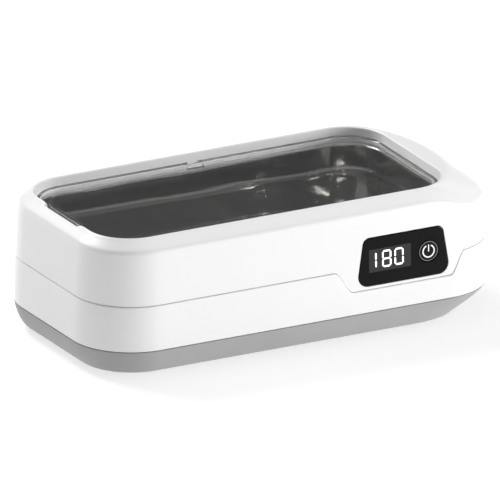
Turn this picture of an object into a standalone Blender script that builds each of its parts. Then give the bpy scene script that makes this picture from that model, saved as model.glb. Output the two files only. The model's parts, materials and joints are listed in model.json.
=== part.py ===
"""A small household ultrasonic cleaner, built as the loose pieces it comes apart into.

X runs along the cleaner (the display is towards +X), Y runs from front (-Y) to back, and Z is up.
The origin is the middle of the footprint, on the surface that the feet stand on.
Every solid is drawn and cut in millimetres, and settle() turns the finished ones into metres.
"""

import math

import bmesh
import bpy
from mathutils import Matrix, Vector

MM = 0.001
GAP = 0.3

# Outer body: widest at the joint between the grey base and the white shells.
BODY_LENGTH = 211.0
BODY_WIDTH = 111.0
BODY_CORNER = 30.0
BASE_BOTTOM = 1.5
BASE_TOP = 13.5
BASE_UNDERCUT = 7.0
END_UNDERCUT = 13.0
END_UNDERCUT_SPAN = (62.0, 92.0)
SEAM = 35.4
SEAM_DIP = 10.8
DIP_LEFT = (14.7, 24.8)
DIP_RIGHT = (75.0, 82.0)
SEAM_GAP = 0.5
LOWER_PROUD = 0.4
CREASE = 61.6
CREASE_FALL = 6.2
CREASE_FALL_SPAN = (66.0, 95.0)
RIM = 66.4
DRAFT = 1.8
DRAFT_RIGHT = 1.0
DRAFT_CORNER = 1.5
WALL = 2.2

# Opening over the tank.
OPENING_LEFT = -96.6
OPENING_RIGHT = 83.5
OPENING_HALF_WIDTH = 45.3
OPENING_CORNER = 20.0
CREST_TIP = 94.6
CREST_RADIUS = 74.0
CREST_DROP = 1.0
SHOULDER_INSET = 3.6
SHOULDER_HEIGHT = 59.6
LEDGE = 59.2

# Tank, gasket and lid.
FLANGE_TOP = 57.5
FLANGE_REACH = 3.8
SHEET = 0.8
TANK_INSET = 2.2
TANK_DRAFT = 1.0
TANK_FLOOR = 21.5
TANK_FILLET = 8.0
BEAD_HEIGHT = 46.0
BEAD = 0.8
LID_CLEARANCE = 0.95
LID_SKIRT = 1.6
LID_TOP = 62.9
LID_PLATE = 1.8
SCOOP_HALF = 17.0
SCOOP_DEPTH = 0.4
SCOOP_RAMP = 2.8
POCKET_FLOOR = 62.6
POCKET_REACH = 2.1
TAB_HALF = 15.2
TAB_REACH = 1.75
ARCH_X = -5.6
ARCH_RADIUS = 4.5

# Display panel on the front wall.
PANEL_BOTTOM = (26.5, 75.0)
PANEL_TOP = (30.5, 71.5)
PANEL_HEIGHTS = (26.3, 49.5)
PANEL_RADII = (5.0, 3.5)
PANEL_PROUD = 0.15
PANEL_FLANGE = 1.0
LED_X = (33.0, 54.8)
LED_Z = (32.7, 43.7)
KEY_X = 64.0
KEY_Z = 38.2
KEY_RADIUS = 5.25
KEY_COLLAR = -50.8
KEY_COLLAR_DEPTH = 0.7
PLUNGER_SPAN = (-49.8, -49.1)
BOARD_FRONT = -46.7
BOARD_THICKNESS = 1.2

# Driver board and mains inlet.
DRIVER_BOARD = (-20.0, 97.5, -32.0, 32.0)
DRIVER_BOTTOM = 8.0
DRIVER_TOP = 9.6
PART_BASE = DRIVER_TOP + GAP
INLET_Z = 25.0
PIN_SPACING = 8.6
PIEZO_X = (-44.5, 31.5)
PIEZO_RADIUS = 22.5

SCREW_SPOTS = [(x, side * y) for x, y in ((-89.6, 39.6), (78.0, 36.5)) for side in (-1, 1)]
FOOT_SPOTS = [(x, side * 38.0) for x in (-75.0, 60.0) for side in (-1, 1)]
STANDOFF_SPOTS = [(x, y) for x in (-16.0, 80.0) for y in (-28.0, 28.0)]
BOARD_SCREW_X = (22.0, 79.5)
BOARD_SCREW_Z = 44.0


def clear_scene():
    for item in list(bpy.data.objects):
        bpy.data.objects.remove(item, do_unlink=True)


def material(name, colour, roughness, metallic=0.0, alpha=1.0):
    made = bpy.data.materials.new(name)
    made.use_nodes = True
    shader = made.node_tree.nodes["Principled BSDF"]
    shader.inputs["Base Color"].default_value = (*colour, 1.0)
    shader.inputs["Roughness"].default_value = roughness
    shader.inputs["Metallic"].default_value = metallic
    shader.inputs["Alpha"].default_value = alpha
    return made


def smooth_step(value):
    value = min(max(value, 0.0), 1.0)
    return value * value * (3.0 - 2.0 * value)


# --- Outlines -----------------------------------------------------------------------------

FRONT_STEPS = (-0.5, 0.0, 0.195, 0.23, 0.262, 0.295, 0.328, 0.6)
BACK_STEPS = (0.5, 0.0, -0.5)
SIDE_STEPS = (-0.6, -0.2, 0.2, 0.6)
SCOOP_STEPS = (-0.79, -0.74, -0.69, -0.64, 0.0, 0.64, 0.69, 0.74, 0.79)
CORNER_STEPS = tuple(9.0 * step for step in range(11))
SEAM_CORNER_STEPS = (0.0, 2.9, 5.7, 8.6, 12.5, 22.0, 32.0, 42.0, 52.0, 62.0, 71.0, 81.0, 90.0)


def corner_stations(side_x, side_y, start, steps):
    """Stations round one corner: its centre's signs, then the outward direction."""
    turned = [math.radians(start + step) for step in steps]
    return [(side_x, side_y, math.cos(angle), math.sin(angle)) for angle in turned]


def body_stations():
    """The stations that every outline shares, anticlockwise from the front left corner."""
    front = [(step, -1.0, 0.0, -1.0) for step in FRONT_STEPS]
    right = [(1.0, step, 1.0, 0.0) for step in SIDE_STEPS]
    back = [(step, 1.0, 0.0, 1.0) for step in BACK_STEPS]
    left = [(-1.0, -step, -1.0, 0.0) for step in SCOOP_STEPS]
    return (
        front
        + corner_stations(1.0, -1.0, -90.0, SEAM_CORNER_STEPS)
        + right
        + corner_stations(1.0, 1.0, 0.0, CORNER_STEPS)
        + back
        + corner_stations(-1.0, 1.0, 90.0, CORNER_STEPS)
        + left
        + corner_stations(-1.0, -1.0, 180.0, CORNER_STEPS)
    )


STATIONS = body_stations()


def station_point(station, left, right, half_width, corner):
    """A point of a rounded rectangle at one station."""
    along_x, along_y, out_x, out_y = station
    middle = (left + right) / 2
    half_x = (right - left) / 2 - corner
    half_y = half_width - corner
    return middle + along_x * half_x + out_x * corner, along_y * half_y + out_y * corner


def body_point(station, height, inset):
    """A point of the drafted outer wall at this height, moved inwards by inset."""
    climb = max(height - BASE_TOP, 0.0) / (CREASE - BASE_TOP)
    return station_point(
        station,
        -BODY_LENGTH / 2 + DRAFT * climb + inset,
        BODY_LENGTH / 2 - DRAFT_RIGHT * climb - inset,
        BODY_WIDTH / 2 - DRAFT * climb - inset,
        BODY_CORNER - DRAFT_CORNER * climb - inset,
    )


def body_loop(height, inset):
    """One ring of the outer wall. The height is a number or a function of x and y."""
    ring = []
    for station in STATIONS:
        level = height
        if callable(height):
            level = height(*body_point(station, SEAM, 0.0))
        ring.append((*body_point(station, level, inset), level))
    return ring


def scoop_drop(x, y):
    """How far the rim dips for a fingertip in the middle of the left end."""
    if x > 0.0:
        return 0.0
    return SCOOP_DEPTH * smooth_step((SCOOP_HALF + SCOOP_RAMP - abs(y)) / SCOOP_RAMP)


def rim_loop(height, outset):
    """A ring round the opening that follows the finger scoop."""
    return [(x, y, z - scoop_drop(x, y)) for x, y, z in opening_loop(height, outset)]


def opening_loop(height, outset):
    """One ring round the opening, moved outwards by outset."""
    sizes = (
        OPENING_LEFT - outset,
        OPENING_RIGHT + outset,
        OPENING_HALF_WIDTH + outset,
        OPENING_CORNER + outset,
    )
    return [(*station_point(station, *sizes), height) for station in STATIONS]


def dip_share(x, y):
    """How far the seam has dropped under the display, from 0 to 1."""
    if y > 0.0:
        return 0.0
    fall = smooth_step((x - DIP_LEFT[0]) / (DIP_LEFT[1] - DIP_LEFT[0]))
    rise = smooth_step((x - DIP_RIGHT[0]) / (DIP_RIGHT[1] - DIP_RIGHT[0]))
    return fall - rise


def seam_height(offset):
    return lambda x, y: SEAM - SEAM_DIP * dip_share(x, y) + offset


def tongue_height(offset, rise):
    """The lower shell's tongue is high along the seam and nearly gone under the display."""
    return lambda x, y: seam_height(offset)(x, y) + rise * (1.0 - 0.9 * dip_share(x, y))


def crease_height(offset):
    start, end = CREASE_FALL_SPAN

    def height(x, y):
        return CREASE - CREASE_FALL * smooth_step((x - start) / (end - start)) + offset

    return height


def crest_loop(height, outset):
    """The ring where the collar turns down. Towards +X it swells into a broad arc."""
    middle = CREST_TIP - CREST_RADIUS
    ring = []
    for station, (x, y, _) in zip(STATIONS, opening_loop(height, outset)):
        along_x, along_y, out_x, out_y = station
        level = height
        if along_x == 1.0 and out_x > 0.0:
            hub_x = OPENING_RIGHT - OPENING_CORNER
            hub_y = along_y * (OPENING_HALF_WIDTH - OPENING_CORNER)
            lever = (hub_x - middle) * out_x + hub_y * out_y
            rest = (hub_x - middle) ** 2 + hub_y**2 - CREST_RADIUS**2
            reach = -lever + math.sqrt(lever * lever - rest)
            turn = 90.0 - math.degrees(math.atan2(abs(out_y), out_x))
            share = smooth_step((turn - 5.0) / 60.0)
            x += share * (reach - OPENING_CORNER - outset) * out_x
            y += share * (reach - OPENING_CORNER - outset) * out_y
            level -= share * (CREST_DROP - 0.5)
        ring.append((x, y, level))
    return ring


def shoulder_loop():
    """The ring between the crease and the crest, full and rounded towards +X."""
    ring = []
    outer = body_loop(crease_height(0.5), 1.4)
    for station, low, high in zip(STATIONS, outer, crest_loop(RIM - 0.5, 1.6)):
        along_x, _, out_x, out_y = station
        spot = Vector(low).lerp(Vector(high), 0.82)
        if along_x == 1.0 and out_x > 0.0:
            full = Vector((*body_point(station, CREASE, SHOULDER_INSET), SHOULDER_HEIGHT))
            turn = math.degrees(math.atan2(out_x, abs(out_y)))
            spot = spot.lerp(full, smooth_step(turn / 70.0))
        ring.append(tuple(spot))
    return ring


# --- Mesh makers --------------------------------------------------------------------------


def finish_object(name, mesh, surface, origin=(0.0, 0.0, 0.0), sharp=30.0):
    mesh.transform(Matrix.Translation(-Vector(origin)))
    made = bpy.data.objects.new(name, mesh)
    made.location = origin
    bpy.context.scene.collection.objects.link(made)
    mesh.shade_smooth()
    mesh.set_sharp_from_angle(angle=math.radians(sharp))
    if surface is not None:
        mesh.materials.append(surface)
    return made


def mesh_from_bmesh(name, work):
    work.normal_update()
    bmesh.ops.triangulate(work, faces=work.faces)
    bmesh.ops.recalc_face_normals(work, faces=work.faces)
    mesh = bpy.data.meshes.new(name)
    work.to_mesh(mesh)
    work.free()
    return mesh


def add_loft(work, rings, ring_shape):
    """Bridges each ring to the next. ring_shape 'ring' closes on itself, 'solid' has two caps."""
    rows = [[work.verts.new(point) for point in ring] for ring in rings]
    count = len(rows[0])
    pairs = list(zip(rows, rows[1:]))
    if ring_shape == "ring":
        pairs.append((rows[-1], rows[0]))
    for lower, upper in pairs:
        for here in range(count):
            after = (here + 1) % count
            work.faces.new((lower[here], lower[after], upper[after], upper[here]))
    if ring_shape == "solid":
        work.faces.new(list(reversed(rows[0])))
        work.faces.new(rows[-1])


def loft(name, rings, surface, ring_shape="solid", origin=(0.0, 0.0, 0.0)):
    work = bmesh.new()
    add_loft(work, rings, ring_shape)
    return finish_object(name, mesh_from_bmesh(name, work), surface, origin)


def on_axis(axis, first, second, along):
    """A point from two coordinates in the plane across the axis, and one along it."""
    if axis == "X":
        return along, first, second
    if axis == "Y":
        return first, along, second
    return first, second, along


def circle(centre, radius, count=20):
    turns = [2 * math.pi * step / count for step in range(count)]
    return [(centre[0] + radius * math.cos(a), centre[1] + radius * math.sin(a)) for a in turns]


def stadium(centre, width, height, steps=8):
    """A slot with round ends, long in its first coordinate."""
    radius = height / 2
    outline = []
    for side, start in ((1, -90), (-1, 90)):
        for step in range(steps + 1):
            angle = math.radians(start + 180 * step / steps)
            across = centre[0] + side * (width / 2 - radius) + radius * math.cos(angle)
            outline.append((across, centre[1] + radius * math.sin(angle)))
    return outline


def rectangle(left, right, bottom, top, chamfer=0.0):
    if not chamfer:
        return [(left, bottom), (right, bottom), (right, top), (left, top)]
    return [
        (left + chamfer, bottom),
        (right - chamfer, bottom),
        (right, bottom + chamfer),
        (right, top - chamfer),
        (right - chamfer, top),
        (left + chamfer, top),
        (left, top - chamfer),
        (left, bottom + chamfer),
    ]


def prisms(name, shapes, axis, surface=None, origin=(0.0, 0.0, 0.0)):
    """Extrusions along one axis in one mesh. Each shape is (outline, start, end)."""
    work = bmesh.new()
    for outline, start, end in shapes:
        rings = [[on_axis(axis, *point, along) for point in outline] for along in (start, end)]
        add_loft(work, rings, "solid")
    return finish_object(name, mesh_from_bmesh(name, work), surface, origin)


def turned(name, profile, centre, axis, surface=None, count=20, origin=(0.0, 0.0, 0.0)):
    """A turned piece: profile is a list of (radius, place along the axis)."""
    rings = []
    for radius, along in profile:
        rings.append([on_axis(axis, *point, along) for point in circle(centre, radius, count)])
    return loft(name, rings, surface, "solid", origin)


def block(name, x, y, z, surface, chamfer=0.4):
    """A block with chamfered upright edges, from three (low, high) pairs."""
    return prisms(name, [(rectangle(*x, *y, chamfer), *z)], "Z", surface)


def combine(target, tool, operation, solver="EXACT"):
    """Joins or cuts target with a hidden tool object. MANIFOLD is for slivers that EXACT leaves open."""
    tool.hide_render = True
    tool.display_type = "WIRE"
    step = target.modifiers.new(tool.name, "BOOLEAN")
    step.operation = operation
    step.solver = solver
    step.object = tool


def settle():
    """Applies every Boolean, drops the cutters and turns millimetres into metres."""
    graph = bpy.context.evaluated_depsgraph_get()
    meshes = [item for item in bpy.data.objects if item.type == "MESH"]
    solids = [item for item in meshes if not item.hide_render]
    for solid in solids:
        if solid.modifiers:
            cut = bpy.data.meshes.new_from_object(solid.evaluated_get(graph))
            solid.modifiers.clear()
            solid.data = cut
    for item in meshes:
        if item not in solids:
            bpy.data.objects.remove(item, do_unlink=True)
    for solid in solids:
        solid.data.transform(Matrix.Scale(MM, 4))
        solid.location *= MM


def tube(name, points, radius, surface):
    """A lead: a smooth curve through the points, with closed ends."""
    curve = bpy.data.curves.new(name, "CURVE")
    curve.dimensions = "3D"
    curve.bevel_depth = radius * MM
    curve.bevel_resolution = 2
    curve.use_fill_caps = True
    places = [Vector(point) for point in points]
    places = [2 * places[0] - places[1]] + places + [2 * places[-1] - places[-2]]
    route = []
    for index in range(1, len(places) - 2):
        before, start, end, after = places[index - 1 : index + 3]
        for step in range(4):
            t = step / 4
            route.append(
                (
                    2 * start
                    + (end - before) * t
                    + (2 * before - 5 * start + 4 * end - after) * t * t
                    + (3 * start - before - 3 * end + after) * t**3
                )
                / 2
            )
    route.append(places[-2])
    line = curve.splines.new("POLY")
    line.points.add(len(route) - 1)
    for spot, place in zip(line.points, route):
        spot.co = (*(place * MM), 1.0)
    made = bpy.data.objects.new(name, curve)
    curve.materials.append(surface)
    bpy.context.scene.collection.objects.link(made)
    return made


# --- Display panel outline ------------------------------------------------------------------


def front_wall(height):
    """Y of the front wall's outer face at this height."""
    return -BODY_WIDTH / 2 + DRAFT * (height - BASE_TOP) / (CREASE - BASE_TOP)


def rounded_corner(before, corner, after, radius, steps=4):
    """An arc of this radius that rounds one corner of an outline."""
    corner = Vector(corner)
    to_before = (Vector(before) - corner).normalized()
    to_after = (Vector(after) - corner).normalized()
    half = to_before.angle(to_after) / 2
    centre = corner + (to_before + to_after).normalized() * radius / math.sin(half)
    start = (corner + to_before * radius / math.tan(half) - centre).normalized()
    end = (corner + to_after * radius / math.tan(half) - centre).normalized()
    return [tuple(centre + start.slerp(end, step / steps) * radius) for step in range(steps + 1)]


def panel_outline(grow):
    """The display panel, narrower at the top, grown by this much on every side."""
    low, high = PANEL_HEIGHTS
    corners = [
        (PANEL_BOTTOM[0] - grow, low - grow),
        (PANEL_BOTTOM[1] + grow, low - grow),
        (PANEL_TOP[1] + grow, high + grow),
        (PANEL_TOP[0] - grow, high + grow),
    ]
    radii = [PANEL_RADII[0], PANEL_RADII[0], PANEL_RADII[1], PANEL_RADII[1]]
    outline = []
    for index in range(4):
        neighbours = corners[index - 1], corners[index], corners[(index + 1) % 4]
        outline += rounded_corner(*neighbours, radii[index] + grow)
    return outline


def panel_ring(grow, depth):
    """A ring of the panel, this deep behind the drafted front wall."""
    return [(x, front_wall(z) + depth, z) for x, z in panel_outline(grow)]


# --- Housing --------------------------------------------------------------------------------


def make_upper_housing(white):
    half_gap = SEAM_GAP / 2
    rings = [
        body_loop(seam_height(half_gap), 0.0),
        body_loop(crease_height(-1.3), 0.0),
        body_loop(crease_height(-0.3), 0.35),
        body_loop(crease_height(0.5), 1.4),
        shoulder_loop(),
        crest_loop(RIM - 0.5, 1.6),
        rim_loop(RIM, 0.9),
        rim_loop(RIM, 0.4),
        rim_loop(RIM - 0.4, 0.0),
        opening_loop(LEDGE, 0.0),
        opening_loop(LEDGE, WALL),
        opening_loop(LEDGE + 1.8, WALL),
        body_loop(crease_height(-2.6), WALL),
        body_loop(seam_height(half_gap), WALL),
    ]
    housing = loft("upper_housing", rings, white, "ring")
    wall_inside = front_wall(BOARD_SCREW_Z) + 1.2
    spots = [(x, BOARD_SCREW_Z) for x in BOARD_SCREW_X]
    bosses = [(circle(spot, 2.6, 16), wall_inside, BOARD_FRONT - GAP) for spot in spots]
    pilots = [(circle(spot, 1.3, 12), BOARD_FRONT - 5.0, BOARD_FRONT) for spot in spots]
    combine(housing, prisms("board_bosses", bosses, "Y"), "UNION")
    combine(housing, prisms("board_pilots", pilots, "Y"), "DIFFERENCE")
    hole = loft("panel_hole", [panel_ring(GAP, -3.0), panel_ring(GAP, 4.0)], None)
    combine(housing, hole, "DIFFERENCE")
    start = OPENING_LEFT - POCKET_REACH
    pocket = rectangle(start, OPENING_LEFT + 6.0, -SCOOP_HALF, SCOOP_HALF, 1.0)
    combine(housing, prisms("tab_pocket", [(pocket, POCKET_FLOOR, RIM + 5.0)], "Z"), "DIFFERENCE")
    return housing


def rib_reach(x, y):
    """Distance along a 45 degree rib from a screw boss to a point inside the corner's wall."""
    hub_x = BODY_LENGTH / 2 - BODY_CORNER
    hub_y = BODY_WIDTH / 2 - BODY_CORNER
    beyond_x, beyond_y = abs(x) - hub_x, abs(y) - hub_y
    lever = (beyond_x + beyond_y) / math.sqrt(2.0)
    inner = BODY_CORNER - WALL / 2
    return math.sqrt(lever**2 + inner**2 - beyond_x**2 - beyond_y**2) - lever


def make_lower_housing(white):
    half_gap = SEAM_GAP / 2
    start = BASE_TOP + 0.15
    rings = [
        body_loop(start, 0.0),
        body_loop(seam_height(-half_gap - 0.3), -LOWER_PROUD),
        body_loop(seam_height(-half_gap), 0.3 - LOWER_PROUD),
        body_loop(seam_height(-half_gap), WALL + GAP),
        body_loop(tongue_height(-half_gap, 2.6), WALL + GAP),
        body_loop(tongue_height(-half_gap, 2.6), WALL + 1.1),
        body_loop(seam_height(-2.2), WALL + 1.1),
        body_loop(seam_height(-3.7), WALL),
        body_loop(start, WALL - 0.2),
    ]
    housing = loft("lower_housing", rings, white, "ring")
    bosses = [(circle(spot, 3.2, 16), 14.2, 20.0) for spot in SCREW_SPOTS]
    combine(housing, prisms("screw_bosses", bosses, "Z"), "UNION")
    ribs = []
    for x, y in SCREW_SPOTS:
        outward = Vector((math.copysign(1, x), math.copysign(1, y))).normalized()
        side = Vector((-outward.y, outward.x))
        near = Vector((x, y)) + outward * 1.8
        far = Vector((x, y)) + outward * rib_reach(x, y)
        outline = [near - side, far - side, far + side, near + side]
        ribs.append(([tuple(point) for point in outline], 16.0, 19.8))
    combine(housing, prisms("screw_ribs", ribs, "Z"), "UNION")
    pilots = [(circle(spot, 1.35, 12), 13.0, 18.6) for spot in SCREW_SPOTS]
    combine(housing, prisms("screw_pilots", pilots, "Z"), "DIFFERENCE")
    socket = stadium((0.0, INLET_Z), 18.6, 11.1)
    combine(housing, prisms("inlet_hole", [(socket, 98.0, 110.0)], "X"), "DIFFERENCE")
    return housing


def undercut(height, station):
    """How far the base has drawn in at this height. Its +X end slopes in further."""
    drop = min((BASE_TOP - height) / (BASE_TOP - BASE_BOTTOM), 1.0)
    rounded = 1.0 - math.sqrt(max(1.0 - drop * drop, 0.0))
    even = BASE_UNDERCUT * (0.25 * drop + 0.75 * rounded)
    start, end = END_UNDERCUT_SPAN
    x, _ = body_point(station, BASE_TOP, 0.0)
    return even + smooth_step((x - start) / (end - start)) * (END_UNDERCUT * drop**1.2 - even)


def base_loop(height, inset):
    """One ring of the base, moved inwards from its undercut face by inset."""
    ring = []
    for station in STATIONS:
        ring.append((*body_point(station, height, undercut(height, station) + inset), height))
    return ring


def make_base_cover(grey):
    top = BASE_TOP - 0.15
    floor = BASE_BOTTOM + WALL
    rings = [
        base_loop(floor, WALL + 0.6),
        base_loop(8.0, WALL),
        body_loop(top, 3.4),
        body_loop(BASE_TOP + 2.1, 3.4),
        body_loop(BASE_TOP + 2.1, WALL + 0.1),
        body_loop(top, WALL + 0.1),
        body_loop(top, 0.05),
    ]
    for angle in (20, 38, 54, 68, 80, 90):
        height = BASE_TOP - (BASE_TOP - BASE_BOTTOM) * math.sin(math.radians(angle))
        rings.append(base_loop(height, 0.0))
    cover = loft("base_cover", rings, grey)
    posts = [(circle(spot, 3.6, 16), floor - 1.0, top) for spot in SCREW_SPOTS]
    posts += [(circle(spot, 2.6, 16), floor - 1.0, DRIVER_BOTTOM - GAP) for spot in STANDOFF_SPOTS]
    combine(cover, prisms("cover_posts", posts, "Z"), "UNION", "MANIFOLD")
    holes = [(circle(spot, 2.4, 16), 0.0, 4.2) for spot in SCREW_SPOTS]
    holes += [(circle(spot, 1.3, 12), 4.6, 12.0) for spot in STANDOFF_SPOTS]
    holes += [(circle(spot, 5.8, 24), 0.0, 2.8) for spot in FOOT_SPOTS]
    combine(cover, prisms("cover_holes", holes, "Z"), "DIFFERENCE", "MANIFOLD")
    shanks = [(circle(spot, 1.35, 12), 3.0, 15.0) for spot in SCREW_SPOTS]
    combine(cover, prisms("shank_holes", shanks, "Z"), "DIFFERENCE", "MANIFOLD")
    return cover


def make_feet(rubber):
    for number, spot in enumerate(FOOT_SPOTS, 1):
        turned(f"foot_{number}", [(4.9, 0.0), (5.5, 0.6), (5.5, 2.5)], spot, "Z", rubber, 24)


def screw_profile(head_radius, head, shank_radius, shank, start, direction):
    """A pan head from start, then a shank in the given direction along the axis."""
    steps = [
        (head_radius * 0.7, 0.0),
        (head_radius, 0.3 * head),
        (head_radius, head),
        (shank_radius, head),
        (shank_radius, head + shank - 0.6),
        (shank_radius * 0.5, head + shank),
    ]
    return [(radius, start + direction * along) for radius, along in steps]


def make_housing_screws(steel):
    profile = screw_profile(2.1, 1.6, 1.05, 13.5, 2.3, 1)
    for number, spot in enumerate(SCREW_SPOTS, 1):
        turned(f"housing_screw_{number}", profile, spot, "Z", steel, 12)


# --- Tank and lid ---------------------------------------------------------------------------


def tank_wall(height):
    """Inset of the tank's inner wall from the opening, with its draft."""
    climb = (height - TANK_FLOOR) / (FLANGE_TOP - TANK_FLOOR)
    return TANK_INSET + TANK_DRAFT * (1.0 - climb)


def make_tank(steel):
    start = TANK_FLOOR + TANK_FILLET
    inside = []
    for angle in (90, 70, 50, 30, 12, 0):
        turn = math.radians(angle)
        height = start - TANK_FILLET * math.sin(turn)
        inside.append((height, tank_wall(start) + TANK_FILLET * (1.0 - math.cos(turn))))
    inside += [
        (BEAD_HEIGHT - 1.2, tank_wall(BEAD_HEIGHT)),
        (BEAD_HEIGHT, tank_wall(BEAD_HEIGHT) + BEAD),
        (BEAD_HEIGHT + 1.2, tank_wall(BEAD_HEIGHT)),
        (FLANGE_TOP - 1.0, TANK_INSET),
    ]
    rings = [opening_loop(height, -inset) for height, inset in inside]
    rings.append(opening_loop(FLANGE_TOP - 0.25, -TANK_INSET + 0.3))
    rings.append(opening_loop(FLANGE_TOP, -TANK_INSET + 1.0))
    rings.append(opening_loop(FLANGE_TOP, FLANGE_REACH))
    rings.append(opening_loop(FLANGE_TOP - SHEET, FLANGE_REACH))
    rings.append(opening_loop(FLANGE_TOP - SHEET, SHEET - TANK_INSET + 0.2))
    for height, inset in reversed(inside[:-1]):
        share = min(max((start - height) / TANK_FILLET, 0.0), 1.0)
        rings.append(opening_loop(height - SHEET * share**2, SHEET * (1.0 - 0.6 * share**2) - inset))
    return loft("tank", rings, steel)


def make_gasket(silicone):
    low = FLANGE_TOP + GAP
    high = LEDGE - GAP
    rings = [
        opening_loop(low, 0.3),
        opening_loop(low, 3.0),
        opening_loop(high, 3.0),
        opening_loop(high, 0.3),
    ]
    return loft("tank_gasket", rings, silicone, "ring")


def make_lid(clear):
    low = FLANGE_TOP + GAP
    under = LID_TOP - LID_PLATE
    inner = LID_CLEARANCE + LID_SKIRT
    rings = [
        opening_loop(under, -inner - 1.1),
        opening_loop(under - 0.5, -inner - 0.35),
        opening_loop(under - 1.2, -inner),
        opening_loop(low, -inner),
        opening_loop(low, -LID_CLEARANCE),
        opening_loop(LID_TOP - 1.6, -LID_CLEARANCE),
        opening_loop(LID_TOP - 0.7, -LID_CLEARANCE - 0.25),
        opening_loop(LID_TOP - 0.2, -LID_CLEARANCE - 0.8),
        opening_loop(LID_TOP, -LID_CLEARANCE - 1.7),
    ]
    middle = (OPENING_LEFT + OPENING_RIGHT) / 2
    lid = loft("lid", rings, clear, origin=(middle, 0.0, FLANGE_TOP))
    edge = OPENING_LEFT + LID_CLEARANCE
    end = OPENING_LEFT - TAB_REACH
    tab_low = POCKET_FLOOR + 0.4
    tab_high = tab_low + 1.4
    outline = [
        (edge + 0.4, LID_TOP - 0.9),
        (edge + 2.2, LID_TOP - 0.9),
        (edge + 2.2, tab_high - 0.4),
        (edge + 1.8, tab_high),
        (end + 0.3, tab_high),
        (end, tab_high - 0.3),
        (end, tab_low),
        (edge + 0.4, tab_low),
    ]
    combine(lid, prisms("lid_tab", [(outline, -TAB_HALF, TAB_HALF)], "Y"), "UNION", "MANIFOLD")
    arch = circle((ARCH_X, FLANGE_TOP), ARCH_RADIUS, 24)
    spans = [(arch, -47.0, -42.0), (arch, 42.0, 47.0)]
    combine(lid, prisms("lid_arches", spans, "Y"), "DIFFERENCE", "MANIFOLD")
    return lid


# --- Display, key and control board ----------------------------------------------------------


def make_window(black):
    back = WALL + GAP
    rings = [
        panel_ring(-0.3, -PANEL_PROUD),
        panel_ring(0.0, -PANEL_PROUD + 0.3),
        panel_ring(0.0, back),
        panel_ring(1.2, back),
        panel_ring(1.2, back + PANEL_FLANGE),
    ]
    window = loft("display_window", rings, black)
    hole = [(circle((KEY_X, KEY_Z), KEY_RADIUS + GAP, 32), -60.0, -45.0)]
    combine(window, prisms("key_hole", hole, "Y"), "DIFFERENCE", "MANIFOLD")
    return window


def make_power_button(black):
    face = front_wall(KEY_Z) - PANEL_PROUD
    profile = [
        (KEY_RADIUS - 0.4, face),
        (KEY_RADIUS, face + 0.4),
        (KEY_RADIUS, KEY_COLLAR),
        (KEY_RADIUS + 1.0, KEY_COLLAR),
        (KEY_RADIUS + 1.0, KEY_COLLAR + KEY_COLLAR_DEPTH),
    ]
    centre = (KEY_X, KEY_Z)
    origin = (KEY_X, face, KEY_Z)
    return turned("power_button", profile, centre, "Y", black, 32, origin)


def make_control_board(green, black, steel, white_plastic):
    start, end = PLUNGER_SPAN
    origin = (KEY_X, start, KEY_Z)
    turned("switch_plunger", [(1.6, start), (1.6, end)], (KEY_X, KEY_Z), "Y", black, 16, origin)
    square = rectangle(KEY_X - 3.0, KEY_X + 3.0, KEY_Z - 3.0, KEY_Z + 3.0, 0.5)
    prisms("tact_switch", [(square, -48.6, BOARD_FRONT - GAP)], "Y", black)
    module = rectangle(*LED_X, *LED_Z, 0.4)
    prisms("led_display", [(module, KEY_COLLAR, BOARD_FRONT - GAP)], "Y", white_plastic)
    board = prisms(
        "control_board",
        [(rectangle(18.5, 83.0, 27.3, 48.6, 1.0), BOARD_FRONT, BOARD_FRONT + BOARD_THICKNESS)],
        "Y",
        green,
    )
    holes = [(circle((x, BOARD_SCREW_Z), 1.3, 12), -48.0, -44.0) for x in BOARD_SCREW_X]
    combine(board, prisms("board_holes", holes, "Y"), "DIFFERENCE")
    profile = screw_profile(2.0, 1.0, 1.0, 5.2, BOARD_FRONT + BOARD_THICKNESS + 1.2, -1)
    for number, x in enumerate(BOARD_SCREW_X, 1):
        turned(f"control_board_screw_{number}", profile, (x, BOARD_SCREW_Z), "Y", steel, 12)


# --- Driver board ------------------------------------------------------------------------------


def make_driver_board(green, steel):
    outline = rectangle(*DRIVER_BOARD, 4.0)
    board = prisms("driver_board", [(outline, DRIVER_BOTTOM, DRIVER_TOP)], "Z", green)
    holes = [(circle(spot, 1.3, 12), 6.0, 12.0) for spot in STANDOFF_SPOTS]
    combine(board, prisms("driver_holes", holes, "Z"), "DIFFERENCE")
    profile = screw_profile(2.2, 1.5, 1.0, 4.6, DRIVER_TOP + GAP + 1.5, -1)
    for number, spot in enumerate(STANDOFF_SPOTS, 1):
        turned(f"driver_board_screw_{number}", profile, spot, "Z", steel, 12)


def make_transformer(ferrite, copper):
    """An E core pair lying on the board, with its winding round the middle leg."""
    low, high = PART_BASE, PART_BASE + 16.0
    outer = rectangle(-31.0, -13.0, low, high)
    core = prisms("transformer_core", [(outer, 85.0, 97.0)], "X", ferrite)
    windows = [
        (rectangle(-28.5, -24.4, low + 2.6, high - 2.6), 80.0, 100.0),
        (rectangle(-19.6, -15.5, low + 2.6, high - 2.6), 80.0, 100.0),
    ]
    combine(core, prisms("core_windows", windows, "X"), "DIFFERENCE")
    winding = prisms(
        "transformer_winding",
        [(rectangle(84.4, 97.6, -28.1, -15.9, 1.0), low + 3.0, high - 3.0)],
        "Z",
        copper,
    )
    leg = [(rectangle(84.7, 97.3, -24.7, -19.3), low, high)]
    combine(winding, prisms("leg_hole", leg, "Z"), "DIFFERENCE")


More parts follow.
